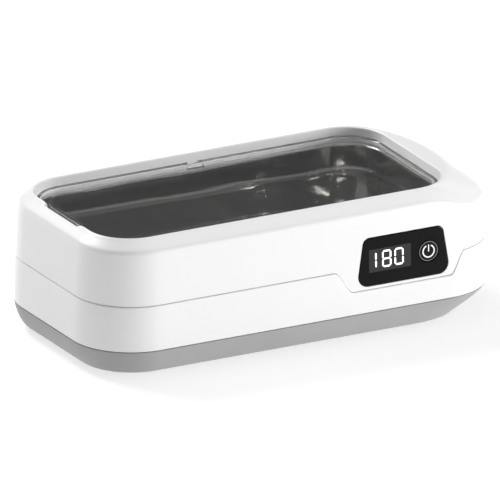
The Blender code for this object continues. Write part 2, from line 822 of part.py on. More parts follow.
def make_output_inductor(ferrite, copper):
    centre = (-12.0, 0.0)
    low = PART_BASE
    spool = [(5.5, low), (5.5, low + 1.4), (2.8, low + 1.4)]
    spool += [(2.8, low + 5.2), (5.5, low + 5.2), (5.5, low + 6.6)]
    turned("output_inductor_core", spool, centre, "Z", ferrite, 20)
    rings = []
    for radius, height in ((3.1, 1.7), (5.0, 1.7), (5.0, 4.9), (3.1, 4.9)):
        rings.append([(*point, low + height) for point in circle(centre, radius, 20)])
    loft("output_inductor_winding", rings, copper, "ring")


def make_power_parts(aluminium, black, white_plastic, steel, glass, blue):
    comb = [(60.4, -15.0), (60.4, 15.0)]
    for number in range(7):
        high = 15.0 - 4.8 * number
        low = high - 1.2
        comb += [(58.0, high), (55.9, high), (55.9, low), (58.0, low)]
    prisms("heat_sink", [(comb, PART_BASE, 16.6)], "Z", aluminium)
    for number, y in enumerate((-7.5, 7.5), 1):
        block(f"mosfet_{number}", (60.7, 65.1), (y - 5.0, y + 5.0), (PART_BASE, 19.0), black)
    block("bridge_rectifier", (67.4, 70.9), (10.5, 21.5), (PART_BASE, 18.6), black, 0.8)
    can = [(5.9, PART_BASE), (6.25, PART_BASE + 0.5), (6.25, 31.4), (5.7, 32.0)]
    turned("bulk_capacitor", can, (91.0, 21.0), "Z", black, 24)
    for number, y in enumerate((-12.0, 3.0), 1):
        block(f"film_capacitor_{number}", (-5.0, 1.0), (y - 6.5, y + 6.5), (PART_BASE, 18.8), blue, 0.8)
    turned("fuse", [(2.5, -10.0), (2.5, 10.0)], (75.5, 13.4), "Y", glass, 16)
    clip = [(71.9, PART_BASE), (79.1, PART_BASE), (79.1, 14.4), (78.4, 14.4), (78.4, 10.5)]
    clip += [(72.6, 10.5), (72.6, 14.4), (71.9, 14.4)]
    for number, y in enumerate((-8.0, 8.0), 1):
        prisms(f"fuse_clip_{number}", [(clip, y - 1.6, y + 1.6)], "Y", steel)
    block("mains_terminal", (81.0, 87.5), (-8.0, 8.0), (PART_BASE, 16.4), white_plastic)
    block("display_connector", (56.0, 64.0), (-29.0, -24.5), (PART_BASE, 15.0), white_plastic)
    block("transducer_connector", (-19.0, -11.0), (14.0, 19.0), (PART_BASE, 15.0), white_plastic)


def make_inlet(black, steel):
    """A two-pin figure-of-eight mains inlet in the right-hand end wall."""
    face = body_point((1.0, 0.0, 1.0, 0.0), INLET_Z, 0.0)[0]
    nose = stadium((0.0, INLET_Z), 18.0, 10.5)
    inlet = prisms("power_inlet", [(nose, 88.0, face - 0.1)], "X", black)
    flange = stadium((0.0, INLET_Z), 24.0, 13.2)
    combine(inlet, prisms("inlet_flange", [(flange, 100.6, 102.8)], "X"), "UNION")
    cavity = stadium((0.0, INLET_Z), 15.6, 8.2)
    combine(inlet, prisms("inlet_cavity", [(cavity, 92.5, 108.0)], "X"), "DIFFERENCE")
    spots = [(side * PIN_SPACING / 2, INLET_Z) for side in (-1, 1)]
    bores = [(circle(spot, 1.5, 16), 86.0, 94.0) for spot in spots]
    combine(inlet, prisms("pin_bores", bores, "X"), "DIFFERENCE")
    for number, spot in enumerate(spots, 1):
        turned(f"inlet_pin_{number}", [(1.2, 86.4), (1.2, 101.2), (0.8, 101.8)], spot, "X", steel, 16)


def make_transducers(ceramic):
    top = TANK_FLOOR - SHEET - GAP
    for number, x in enumerate(PIEZO_X, 1):
        profile = [(PIEZO_RADIUS, top - 3.0), (PIEZO_RADIUS, top)]
        turned(f"piezo_disc_{number}", profile, (x, 0.0), "Z", ceramic, 36)


def make_leads(red, black, grey):
    for number, side in enumerate((-1, 1), 1):
        y = side * PIN_SPACING / 2
        route = [(85.2, y, 23.2), (84.8, y * 1.1, 21.0), (84.3, y * 1.1, 19.0), (84.2, y, 17.6)]
        tube(f"mains_lead_{number}", route, 0.9, grey if number == 1 else black)
    route = [(-33.0, 2.0, 15.6), (-29.0, 6.0, 15.2), (-24.5, 11.0, 13.8), (-20.4, 15.0, 12.8)]
    tube("transducer_lead_1", route, 0.8, red)
    route = [(12.0, 9.0, 15.6), (6.0, 14.0, 14.6), (-2.0, 16.5, 13.6), (-9.6, 16.5, 12.8)]
    tube("transducer_lead_2", route, 0.8, black)
    route = [(60.0, -46.0, 25.8), (60.0, -45.6, 22.0), (60.0, -42.0, 17.6)]
    route += [(60.0, -36.0, 14.6), (60.0, -30.6, 12.8)]
    tube("display_cable", route, 1.2, grey)


def build():
    clear_scene()
    white = material("white_plastic", (0.88, 0.88, 0.88), 0.3)
    grey = material("grey_plastic", (0.38, 0.38, 0.38), 0.5)
    clear = material("clear_plastic", (0.55, 0.55, 0.55), 0.05, 0.0, 0.3)
    black = material("gloss_black", (0.01, 0.01, 0.01), 0.1)
    dark = material("moulded_black", (0.03, 0.03, 0.03), 0.5)
    rubber = material("rubber", (0.05, 0.05, 0.05), 0.8)
    silicone = material("white_silicone", (0.8, 0.8, 0.8), 0.6)
    stainless = material("stainless", (0.5, 0.5, 0.5), 0.15, 1.0)
    steel = material("zinc_steel", (0.7, 0.7, 0.68), 0.3, 1.0)
    aluminium = material("aluminium", (0.75, 0.75, 0.76), 0.35, 1.0)
    copper = material("enamelled_copper", (0.72, 0.32, 0.13), 0.3, 1.0)
    ferrite = material("ferrite", (0.08, 0.08, 0.09), 0.6)
    green = material("circuit_board", (0.03, 0.22, 0.09), 0.4)
    ceramic = material("silvered_ceramic", (0.75, 0.73, 0.68), 0.35, 0.6)
    nylon = material("white_nylon", (0.8, 0.8, 0.76), 0.5)
    glass = material("fuse_glass", (0.8, 0.85, 0.85), 0.05)
    blue = material("blue_film", (0.05, 0.12, 0.45), 0.35)
    red = material("red_insulation", (0.6, 0.03, 0.02), 0.45)
    wire_grey = material("grey_insulation", (0.35, 0.35, 0.36), 0.45)

    make_upper_housing(white)
    make_lower_housing(white)
    make_base_cover(grey)
    make_feet(rubber)
    make_housing_screws(steel)
    make_tank(stainless)
    make_gasket(silicone)
    make_lid(clear)
    make_window(black)
    make_power_button(black)
    make_control_board(green, dark, steel, nylon)
    make_driver_board(green, steel)
    make_transformer(ferrite, copper)
    make_output_inductor(ferrite, copper)
    make_power_parts(aluminium, dark, nylon, steel, glass, blue)
    make_inlet(dark, steel)
    make_transducers(ceramic)
    settle()
    make_leads(red, dark, wire_grey)


build()
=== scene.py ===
import json
import math

import bmesh
import bpy
from mathutils import Matrix, Vector


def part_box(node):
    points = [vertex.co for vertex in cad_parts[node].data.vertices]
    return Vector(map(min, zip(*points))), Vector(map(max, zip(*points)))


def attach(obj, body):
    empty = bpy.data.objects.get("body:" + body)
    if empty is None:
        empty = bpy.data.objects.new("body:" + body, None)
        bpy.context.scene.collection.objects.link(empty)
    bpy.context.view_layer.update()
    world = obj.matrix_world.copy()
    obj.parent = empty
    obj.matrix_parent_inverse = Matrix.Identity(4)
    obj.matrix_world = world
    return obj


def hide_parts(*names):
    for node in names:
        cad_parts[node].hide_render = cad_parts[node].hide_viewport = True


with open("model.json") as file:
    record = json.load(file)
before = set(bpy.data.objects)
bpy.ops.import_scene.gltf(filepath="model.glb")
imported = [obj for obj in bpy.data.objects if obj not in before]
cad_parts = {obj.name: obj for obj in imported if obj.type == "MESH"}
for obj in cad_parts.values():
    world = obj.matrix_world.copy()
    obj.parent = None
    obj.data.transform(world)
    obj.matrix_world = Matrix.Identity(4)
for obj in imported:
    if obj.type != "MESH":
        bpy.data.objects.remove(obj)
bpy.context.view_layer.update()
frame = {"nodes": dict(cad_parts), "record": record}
MM = 0.001


def box_mm(node):
    """A CAD node's lowest and highest corner, in millimetres."""
    low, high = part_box(node)
    return low / MM, high / MM


# --- Sizes, in millimetres: the frame's boxes, then the shape's own values --------------------

BASE_LOW, BASE_HIGH = box_mm("base_cover")
UPPER_LOW, UPPER_HIGH = box_mm("upper_housing")
LOWER_LOW, LOWER_HIGH = box_mm("lower_housing")
TANK_LOW, TANK_HIGH = box_mm("tank")
LID_LOW, LID_HIGH = box_mm("lid")
KEY_LOW, KEY_HIGH = box_mm("power_button")
LED_LOW, LED_HIGH = box_mm("led_display")
INLET_LOW, INLET_HIGH = box_mm("power_inlet")

BASE_SHY = 0.1
BASE_JOINT = 0.15
BODY_LENGTH = BASE_HIGH.x - BASE_LOW.x + BASE_SHY
BODY_WIDTH = BASE_HIGH.y - BASE_LOW.y + BASE_SHY
BODY_CORNER = 30.0
BASE_BOTTOM = BASE_LOW.z
BASE_TOP = LOWER_LOW.z - BASE_JOINT
BASE_UNDERCUT = 7.0
END_UNDERCUT = 13.0
END_UNDERCUT_SPAN = (62.0, 92.0)
SEAM = 35.4
SEAM_DIP = 10.8
DIP_LEFT = (14.7, 24.8)
DIP_RIGHT = (75.2, 83.2)
SEAM_GAP = 0.2
LOWER_PROUD = 0.37
CREASE = 61.6
CREASE_FALL = 6.2
CREASE_FALL_SPAN = (66.0, 95.0)
RIM = UPPER_HIGH.z
DRAFT = 1.8
DRAFT_RIGHT = 1.0
DRAFT_CORNER = 1.5
WALL = 2.2
GAP = 0.3
TONGUE_RISE = 2.6
TONGUE_THICK = 1.1

TANK_FLANGE = TANK_HIGH.z
FLANGE_REACH = 3.8
OPENING_LEFT = TANK_LOW.x + FLANGE_REACH
OPENING_RIGHT = TANK_HIGH.x - FLANGE_REACH
OPENING_HALF_WIDTH = TANK_HIGH.y - FLANGE_REACH
OPENING_CORNER = 20.0
CREST_TIP = 94.6
CREST_RADIUS = 74.0
CREST_DROP = 1.0
CREST_START = 0.5
CREST_INSET = 1.6
SHOULDER_INSET = 3.6
SHOULDER_HEIGHT = 59.6
LEDGE = TANK_FLANGE + 1.7
SHEET = 0.8
TANK_INSET = 2.2
TANK_DRAFT = 1.0
TANK_FLOOR = TANK_LOW.z + SHEET
TANK_FILLET = 8.0
BEAD_HEIGHT = 46.0
BEAD = 0.8
LID_CLEARANCE = 0.95
LID_SKIRT = 1.6
LID_TOP = 62.9
LID_PLATE = 1.8
SCOOP_HALF = 17.0
SCOOP_DEPTH = 0.4
SCOOP_RAMP = 2.8
POCKET_FLOOR = 62.6
POCKET_REACH = 2.1
TAB_HALF = 15.2
TAB_REACH = 1.75
ARCH_X = -5.6
ARCH_RADIUS = 4.5
ARCH_SPANS = ((-47.0, -42.0), (42.0, 47.0))

PANEL_BOTTOM = (26.5, 75.0)
PANEL_TOP = (30.5, 71.5)
PANEL_HEIGHTS = (26.3, 49.5)
PANEL_RADII = (5.0, 3.5)
PANEL_PROUD = 0.15
KEY_X = (KEY_LOW.x + KEY_HIGH.x) / 2
KEY_Z = (KEY_LOW.z + KEY_HIGH.z) / 2
KEY_RADIUS = 5.25
KEY_FACE = KEY_LOW.y
KEY_COLLAR = -50.8
KEY_COLLAR_REACH = 1.0
SYMBOL_RADIUS = 2.9
SYMBOL_STROKE = 0.65
SYMBOL_OPENING = 24.0
SYMBOL_BAR = (-0.2, 3.2)
SYMBOL_BAR_HALF = 0.28
SYMBOL_PROUD = 0.03
# The key face carries a painted highlight: a thin grey ring where the cap's chamfered edge catches the light.
RING_INSET = 0.62
RING_WIDTH = 0.22
INLET_Z = (INLET_LOW.z + INLET_HIGH.z) / 2
INLET_HOLE = (18.5, 11.0)
INLET_HOLE_SPAN = (98.0, 110.0)
SCREW_HOLE = (2.4, 2.25)
FOOT_HOLE = (5.8, 2.7)
DIGIT_CENTRES = ((34.6, "1"), (42.2, "8"), (48.6, "0"))
DIGIT_LOW = 34.3
DIGIT_HIGH = 42.5
DIGIT_WIDTH = 4.8
STROKE = 0.8
SEGMENT_CLEARANCE = 0.18
SEGMENTS = {"1": "bc", "8": "abcdefg", "0": "abcdef"}


def smooth_step(value):
    value = min(max(value, 0.0), 1.0)
    return value * value * (3.0 - 2.0 * value)


# --- Outlines ---------------------------------------------------------------------------------


def even_steps(start, end, count):
    return [start + (end - start) * step / count for step in range(count + 1)]


FRONT_STEPS = (
    even_steps(-0.92, 0.16, 12) + even_steps(0.18, 0.345, 22) + even_steps(0.42, 0.92, 6)
)
BACK_STEPS = even_steps(0.92, -0.92, 16)
SIDE_STEPS = even_steps(-0.9, 0.9, 14)
SCOOP_STEPS = even_steps(-0.9, -0.82, 1) + even_steps(-0.8, -0.62, 9) + even_steps(-0.5, 0.5, 6)
SCOOP_STEPS = SCOOP_STEPS + even_steps(0.62, 0.8, 9) + even_steps(0.82, 0.9, 1)
CORNER_STEPS = even_steps(0.0, 90.0, 30)
SEAM_CORNER_STEPS = even_steps(0.0, 18.0, 24) + even_steps(21.0, 90.0, 23)


def corner_stations(side_x, side_y, start, steps):
    turned = [math.radians(start + step) for step in steps]
    return [(side_x, side_y, math.cos(angle), math.sin(angle)) for angle in turned]


def body_stations():
    """The stations that every outline shares, anticlockwise from the front left corner."""
    front = [(step, -1.0, 0.0, -1.0) for step in FRONT_STEPS]
    right = [(1.0, step, 1.0, 0.0) for step in SIDE_STEPS]
    back = [(step, 1.0, 0.0, 1.0) for step in BACK_STEPS]
    left = [(-1.0, -step, -1.0, 0.0) for step in SCOOP_STEPS]
    return (
        front
        + corner_stations(1.0, -1.0, -90.0, SEAM_CORNER_STEPS)
        + right
        + corner_stations(1.0, 1.0, 0.0, CORNER_STEPS)
        + back
        + corner_stations(-1.0, 1.0, 90.0, CORNER_STEPS)
        + left
        + corner_stations(-1.0, -1.0, 180.0, CORNER_STEPS)
    )


STATIONS = body_stations()


def station_point(station, left, right, half_width, corner):
    along_x, along_y, out_x, out_y = station
    middle = (left + right) / 2
    half_x = (right - left) / 2 - corner
    half_y = half_width - corner
    return middle + along_x * half_x + out_x * corner, along_y * half_y + out_y * corner


def body_point(station, height, inset):
    """A point of the drafted outer wall at this height, moved inwards by inset."""
    climb = max(height - BASE_TOP, 0.0) / (CREASE - BASE_TOP)
    return station_point(
        station,
        -BODY_LENGTH / 2 + DRAFT * climb + inset,
        BODY_LENGTH / 2 - DRAFT_RIGHT * climb - inset,
        BODY_WIDTH / 2 - DRAFT * climb - inset,
        BODY_CORNER - DRAFT_CORNER * climb - inset,
    )


def body_loop(height, inset):
    ring = []
    for station in STATIONS:
        level = height
        if callable(height):
            level = height(*body_point(station, SEAM, 0.0))
        ring.append(Vector((*body_point(station, level, inset), level)))
    return ring


def opening_loop(height, outset):
    sizes = (
        OPENING_LEFT - outset,
        OPENING_RIGHT + outset,
        OPENING_HALF_WIDTH + outset,
        OPENING_CORNER + outset,
    )
    return [Vector((*station_point(station, *sizes), height)) for station in STATIONS]


def scoop_drop(x, y):
    """How far the rim dips for a fingertip in the middle of the left end."""
    if x > 0.0:
        return 0.0
    return SCOOP_DEPTH * smooth_step((SCOOP_HALF + SCOOP_RAMP - abs(y)) / SCOOP_RAMP)


def rim_loop(height, outset):
    return [Vector((p.x, p.y, p.z - scoop_drop(p.x, p.y))) for p in opening_loop(height, outset)]


def dip_share(x, y):
    """How far the seam has dropped under the display, from 0 to 1."""
    if y > 0.0:
        return 0.0
    fall = smooth_step((x - DIP_LEFT[0]) / (DIP_LEFT[1] - DIP_LEFT[0]))
    rise = smooth_step((x - DIP_RIGHT[0]) / (DIP_RIGHT[1] - DIP_RIGHT[0]))
    return fall - rise


def seam_height(offset):
    return lambda x, y: SEAM - SEAM_DIP * dip_share(x, y) + offset


def tongue_height(offset, rise):
    return lambda x, y: seam_height(offset)(x, y) + rise * (1.0 - 0.9 * dip_share(x, y))


def crease_height(offset):
    start, end = CREASE_FALL_SPAN

    def height(x, y):
        return CREASE - CREASE_FALL * smooth_step((x - start) / (end - start)) + offset

    return height


def crest_loop(height, outset):
    """The ring where the collar turns down. Towards +X it swells into a broad arc."""
    middle = CREST_TIP - CREST_RADIUS
    ring = []
    for station, spot in zip(STATIONS, opening_loop(height, outset)):
        along_x, along_y, out_x, out_y = station
        if along_x == 1.0 and out_x > 0.0:
            hub_x = OPENING_RIGHT - OPENING_CORNER
            hub_y = along_y * (OPENING_HALF_WIDTH - OPENING_CORNER)
            lever = (hub_x - middle) * out_x + hub_y * out_y
            rest = (hub_x - middle) ** 2 + hub_y**2 - CREST_RADIUS**2
            reach = -lever + math.sqrt(lever * lever - rest)
            turn = 90.0 - math.degrees(math.atan2(abs(out_y), out_x))
            share = smooth_step((turn - 5.0) / 60.0)
            spot.x += share * (reach - OPENING_CORNER - outset) * out_x
            spot.y += share * (reach - OPENING_CORNER - outset) * out_y
            spot.z -= share * (CREST_DROP - CREST_START)
        ring.append(spot)
    return ring


def shoulder_loop():
    """The ring between the crease and the crest, full and rounded towards +X."""
    ring = []
    outer = body_loop(crease_height(0.5), 1.4)
    for station, low, high in zip(STATIONS, outer, crest_loop(RIM - CREST_START, CREST_INSET)):
        along_x, _, out_x, out_y = station
        spot = low.lerp(high, 0.82)
        if along_x == 1.0 and out_x > 0.0:
            full = Vector((*body_point(station, CREASE, SHOULDER_INSET), SHOULDER_HEIGHT))
            turn = math.degrees(math.atan2(out_x, abs(out_y)))
            spot = spot.lerp(full, smooth_step(turn / 70.0))
        ring.append(spot)
    return ring


def between(low, high, share):
    """The ring this share of the way from one ring to another."""
    return [a.lerp(b, share) for a, b in zip(low, high)]


def rounded(start, corner, end, steps=5):
    """Rings that round the corner ring off, from the start ring to the end ring."""
    rings = []
    for step in range(steps + 1):
        t = step / steps
        near = between(start, corner, t)
        rings.append(between(near, between(corner, end, t), t))
    return rings


# --- Mesh makers ------------------------------------------------------------------------------


def add_loft(work, rings, ring_shape):
    """Bridges each ring to the next. 'ring' closes on itself, 'solid' has two caps."""
    rows = [[work.verts.new(point) for point in ring] for ring in rings]
    count = len(rows[0])
    pairs = list(zip(rows, rows[1:]))
    if ring_shape == "ring":
        pairs.append((rows[-1], rows[0]))
    for lower, upper in pairs:
        for here in range(count):
            after = (here + 1) % count
            work.faces.new((lower[here], lower[after], upper[after], upper[here]))
    if ring_shape == "solid":
        work.faces.new(list(reversed(rows[0])))
        work.faces.new(rows[-1])


def piece_from(name, work, sharp=32.0):
    """An object from a bmesh that is in millimetres. It turns into metres in place_piece()."""
    work.normal_update()
    bmesh.ops.recalc_face_normals(work, faces=work.faces)
    mesh = bpy.data.meshes.new(name)
    work.to_mesh(mesh)
    work.free()
    made = bpy.data.objects.new(name, mesh)
    bpy.context.scene.collection.objects.link(made)
    mesh.shade_smooth()
    mesh.set_sharp_from_angle(angle=math.radians(sharp))
    return made


def loft(name, rings, ring_shape="solid", sharp=32.0):
    work = bmesh.new()
    add_loft(work, rings, ring_shape)
    return piece_from(name, work, sharp)


def on_axis(axis, first, second, along):
    if axis == "X":
        return along, first, second
    if axis == "Y":
        return first, along, second
    return first, second, along


def circle(centre, radius, count=32):
    turns = [2 * math.pi * step / count for step in range(count)]
    return [(centre[0] + radius * math.cos(a), centre[1] + radius * math.sin(a)) for a in turns]


def stadium(centre, width, height, steps=12):
    radius = height / 2
    outline = []
    for side, start in ((1, -90), (-1, 90)):
        for step in range(steps + 1):
            angle = math.radians(start + 180 * step / steps)
            across = centre[0] + side * (width / 2 - radius) + radius * math.cos(angle)
            outline.append((across, centre[1] + radius * math.sin(angle)))
    return outline


def rounded_rectangle(left, right, bottom, top, radius, steps=6):
    outline = []
    hubs = ((right - radius, bottom + radius, -90), (right - radius, top - radius, 0))
    hubs += ((left + radius, top - radius, 90), (left + radius, bottom + radius, 180))
    for x, y, start in hubs:
        for step in range(steps + 1):
            angle = math.radians(start + 90 * step / steps)
            outline.append((x + radius * math.cos(angle), y + radius * math.sin(angle)))
    return outline


def prisms(name, shapes, axis):
    """Extrusions along one axis in one mesh. Each shape is (outline, start, end)."""
    work = bmesh.new()
    for outline, start, end in shapes:
        rings = [[on_axis(axis, *point, along) for point in outline] for along in (start, end)]
        add_loft(work, rings, "solid")
    return piece_from(name, work)


def cut(target, tool, operation="DIFFERENCE", solver="MANIFOLD"):
    """Applies one Boolean to a piece and drops the tool."""
    step = target.modifiers.new("cut", "BOOLEAN")
    step.operation = operation
    step.solver = solver
    step.object = tool
    bpy.context.view_layer.update()
    graph = bpy.context.evaluated_depsgraph_get()
    mesh = bpy.data.meshes.new_from_object(target.evaluated_get(graph))
    target.modifiers.clear()
    target.data = mesh
    bpy.data.objects.remove(tool, do_unlink=True)
    mesh.set_sharp_from_angle(angle=math.radians(32.0))


def place_piece(piece, body, surface, replaced=()):
    """Turns a finished piece into metres, paints it and fixes it to its body."""
    piece.data.transform(Matrix.Scale(MM, 4))
    piece.data.materials.clear()
    piece.data.materials.append(surface)
    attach(piece, body)
    if replaced:
        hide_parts(*replaced)
    return piece


# --- Materials --------------------------------------------------------------------------------


class Surface:
    """A material with a Principled shader and short calls for its texture nodes."""

    def __init__(self, name, colour, roughness, metallic=0.0):
        self.material = bpy.data.materials.new(name)
        self.material.use_nodes = True
        self.nodes = self.material.node_tree.nodes
        self.links = self.material.node_tree.links
        self.shader = self.nodes["Principled BSDF"]
        self.shader.inputs["Metallic"].default_value = metallic
        self.shader.inputs["Roughness"].default_value = roughness
        self.shader.inputs["Base Color"].default_value = (*colour, 1.0)
        self.place = self.nodes.new("ShaderNodeTexCoord").outputs["Object"]

    def stretched(self, scale):
        mapping = self.nodes.new("ShaderNodeMapping")
        mapping.inputs["Scale"].default_value = scale
        self.links.new(self.place, mapping.inputs["Vector"])
        return mapping.outputs["Vector"]

    def noise(self, scale, detail=3.0, where=None):
        texture = self.nodes.new("ShaderNodeTexNoise")
        texture.inputs["Scale"].default_value = scale
        texture.inputs["Detail"].default_value = detail
        self.links.new(where or self.place, texture.inputs["Vector"])
        return texture.outputs["Fac"]

    def ramp(self, factor, stops):
        node = self.nodes.new("ShaderNodeValToRGB")
        band = node.color_ramp
        while len(band.elements) < len(stops):
            band.elements.new(0.5)
        for element, (place, colour) in zip(band.elements, stops):
            element.position = place
            element.color = (*colour, 1.0)
        self.links.new(factor, node.inputs["Fac"])
        return node.outputs["Color"]

    def mottle(self, colour, scale, spread, detail=3.0, where=None):
        """A base colour that drifts a little either side of colour."""
        low = tuple(channel * (1.0 - spread) for channel in colour)
        high = tuple(min(channel * (1.0 + spread), 1.0) for channel in colour)
        stops = ((0.3, low), (0.7, high))
        tint = self.ramp(self.noise(scale, detail, where), stops)
        self.links.new(tint, self.shader.inputs["Base Color"])
        return tint

    def rough(self, scale, low, high, where=None):
        span = self.nodes.new("ShaderNodeMapRange")
        span.inputs["From Min"].default_value = 0.3
        span.inputs["From Max"].default_value = 0.7
        span.inputs["To Min"].default_value = low
        span.inputs["To Max"].default_value = high
        self.links.new(self.noise(scale, 4.0, where), span.inputs["Value"])
        self.links.new(span.outputs["Result"], self.shader.inputs["Roughness"])

    def bump(self, height, strength, distance):
        node = self.nodes.new("ShaderNodeBump")
        node.inputs["Strength"].default_value = strength
        node.inputs["Distance"].default_value = distance
        self.links.new(height, node.inputs["Height"])
        self.links.new(node.outputs["Normal"], self.shader.inputs["Normal"])


def plastic(name, colour, roughness, grain, strength, spread=0.02):
    """Moulded plastic: a drifting tint, uneven gloss and a fine moulded grain."""
    made = Surface(name, colour, sum(roughness) / 2)
    made.mottle(colour, 45.0, spread)
    made.rough(120.0, *roughness)
    made.bump(made.noise(grain, 2.0), strength, 0.00006)
    return made.material


def metal(name, colour, roughness, stretch, strength, spread=0.05):
    """Metal with drawn streaks along the direction that stretch leaves long."""
    made = Surface(name, colour, sum(roughness) / 2, 1.0)
    where = made.stretched(stretch)
    made.mottle(colour, 1.0, spread, 4.0, where)
    made.rough(1.0, *roughness, where)
    made.bump(made.noise(1.0, 5.0, where), strength, 0.00003)
    return made.material


def clear_acrylic(name):
    """Clear moulded acrylic with faint flow marks and a hair of surface wear."""
    made = Surface(name, (0.93, 0.935, 0.935), 0.02)
    made.shader.inputs["Transmission Weight"].default_value = 1.0
    made.shader.inputs["IOR"].default_value = 1.32
    made.mottle((0.93, 0.935, 0.935), 20.0, 0.015)
    made.rough(60.0, 0.008, 0.035)
    made.bump(made.noise(18.0, 2.0), 0.04, 0.0002)
    return made.material


def glowing(name, colour, strength):
    """A lit display segment whose glow drifts a little from spot to spot."""
    made = Surface(name, colour, 0.35)
    tint = made.mottle(colour, 900.0, 0.04)
    made.links.new(tint, made.shader.inputs["Emission Color"])
    made.shader.inputs["Emission Strength"].default_value = strength
    return made.material


def circuit(name, colour):
    """Solder mask over a close net of tracks."""
    made = Surface(name, colour, 0.35)
    cells = made.nodes.new("ShaderNodeTexVoronoi")
    cells.distance = "MANHATTAN"
    cells.feature = "DISTANCE_TO_EDGE"
    cells.inputs["Scale"].default_value = 320.0
    made.links.new(made.place, cells.inputs["Vector"])
    bright = tuple(channel * 1.7 for channel in colour)
    stops = ((0.04, bright), (0.09, colour))
    tint = made.ramp(cells.outputs["Distance"], stops)
    made.links.new(tint, made.shader.inputs["Base Color"])
    made.bump(cells.outputs["Distance"], 0.3, 0.00005)
    return made.material


def wound_wire(name, colour):
    """Enamelled wire laid turn by turn, with painted shade in the grooves between the turns."""
    made = Surface(name, colour, 0.3, 1.0)
    wave = made.nodes.new("ShaderNodeTexWave")
    wave.bands_direction = "Z"
    wave.inputs["Scale"].default_value = 700.0
    wave.inputs["Distortion"].default_value = 0.4
    made.links.new(made.place, wave.inputs["Vector"])
    # Painted shade: the colour darkens where the wave dips, in the grooves between turns.
    groove_shade = tuple(channel * 0.45 for channel in colour)
    made.links.new(
        made.ramp(wave.outputs["Fac"], ((0.1, groove_shade), (0.6, colour))),
        made.shader.inputs["Base Color"],
    )
    made.bump(wave.outputs["Fac"], 0.6, 0.0002)
    return made.material


def make_materials():
    made = {
        "white_housing": plastic("white_housing", (0.79, 0.79, 0.79), (0.28, 0.34), 3500.0, 0.02, 0.004),
        "grey_base": plastic("grey_base", (0.33, 0.33, 0.33), (0.42, 0.55), 2200.0, 0.3, 0.03),
        "tank_steel": metal("tank_steel", (0.4, 0.393, 0.38), (0.04, 0.09), (30.0, 30.0, 200.0), 0.05),
        "seal_rubber": plastic("seal_rubber", (0.03, 0.03, 0.03), (0.6, 0.8), 1800.0, 0.5, 0.1),
        "white_silicone": plastic("white_silicone", (0.75, 0.75, 0.74), (0.5, 0.65), 900.0, 0.2, 0.02),
        "clear_lid": clear_acrylic("clear_lid"),
        "black_window": plastic("black_window", (0.004, 0.004, 0.004), (0.05, 0.1), 400.0, 0.01, 0.1),
        "black_key": plastic("black_key", (0.007, 0.007, 0.007), (0.08, 0.14), 500.0, 0.02, 0.1),
        "display_face": plastic("display_face", (0.034, 0.034, 0.034), (0.2, 0.3), 1500.0, 0.05, 0.06),
        "moulded_black": plastic("moulded_black", (0.02, 0.02, 0.02), (0.4, 0.55), 2000.0, 0.3, 0.1),
        "white_nylon": plastic("white_nylon", (0.72, 0.72, 0.68), (0.4, 0.5), 1200.0, 0.1),
        "circuit_board": circuit("circuit_board", (0.02, 0.16, 0.06)),
        "zinc_steel": metal("zinc_steel", (0.62, 0.62, 0.6), (0.22, 0.38), (300.0, 300.0, 300.0), 0.2),
        "aluminium": metal("aluminium", (0.72, 0.72, 0.73), (0.25, 0.4), (60.0, 60.0, 900.0), 0.3),
        "copper_wire": wound_wire("copper_wire", (0.6, 0.24, 0.08)),
        "ferrite": plastic("ferrite", (0.05, 0.05, 0.055), (0.45, 0.6), 1500.0, 0.3, 0.1),
        "silvered_ceramic": metal("silvered_ceramic", (0.7, 0.68, 0.63), (0.3, 0.5), (90.0, 90.0, 90.0), 0.2),
        "fuse_glass": clear_acrylic("fuse_glass"),
        "blue_film": plastic("blue_film", (0.03, 0.09, 0.38), (0.2, 0.35), 900.0, 0.1, 0.05),
        "red_insulation": plastic("red_insulation", (0.5, 0.02, 0.015), (0.35, 0.5), 900.0, 0.1, 0.05),
        "grey_insulation": plastic("grey_insulation", (0.3, 0.3, 0.31), (0.35, 0.5), 900.0, 0.1, 0.05),
        "lit_digits": glowing("lit_digits", (0.95, 0.97, 1.0), 0.9),
        "printed_white": plastic("printed_white", (0.85, 0.86, 0.87), (0.3, 0.4), 1500.0, 0.02),
        # Painted highlight along the key cap's chamfered edge.
        "painted_edge_highlight": plastic("painted_edge_highlight", (0.28, 0.28, 0.28), (0.2, 0.3), 1500.0, 0.02),
    }
    for name in ("black_window", "black_key", "display_face"):
        shader = made[name].node_tree.nodes["Principled BSDF"]
        shader.inputs["Specular IOR Level"].default_value = 0.12
    return made


# --- Housing ----------------------------------------------------------------------------------


def front_wall(height):
    return -BODY_WIDTH / 2 + DRAFT * (height - BASE_TOP) / (CREASE - BASE_TOP)


def rounded_corner(before, corner, after, radius, steps=10):
    corner = Vector(corner)
    to_before = (Vector(before) - corner).normalized()
    to_after = (Vector(after) - corner).normalized()
    half = to_before.angle(to_after) / 2
    centre = corner + (to_before + to_after).normalized() * radius / math.sin(half)
    start = (corner + to_before * radius / math.tan(half) - centre).normalized()
    end = (corner + to_after * radius / math.tan(half) - centre).normalized()
    return [tuple(centre + start.slerp(end, step / steps) * radius) for step in range(steps + 1)]


def panel_outline(grow):
    low, high = PANEL_HEIGHTS
    corners = [
        (PANEL_BOTTOM[0] - grow, low - grow),
        (PANEL_BOTTOM[1] + grow, low - grow),
        (PANEL_TOP[1] + grow, high + grow),
        (PANEL_TOP[0] - grow, high + grow),
    ]
    radii = [PANEL_RADII[0], PANEL_RADII[0], PANEL_RADII[1], PANEL_RADII[1]]
    outline = []
    for index in range(4):
        neighbours = corners[index - 1], corners[index], corners[(index + 1) % 4]
        outline += rounded_corner(*neighbours, radii[index] + grow)
    return outline


def panel_ring(grow, depth):
    return [Vector((x, front_wall(z) + depth, z)) for x, z in panel_outline(grow)]


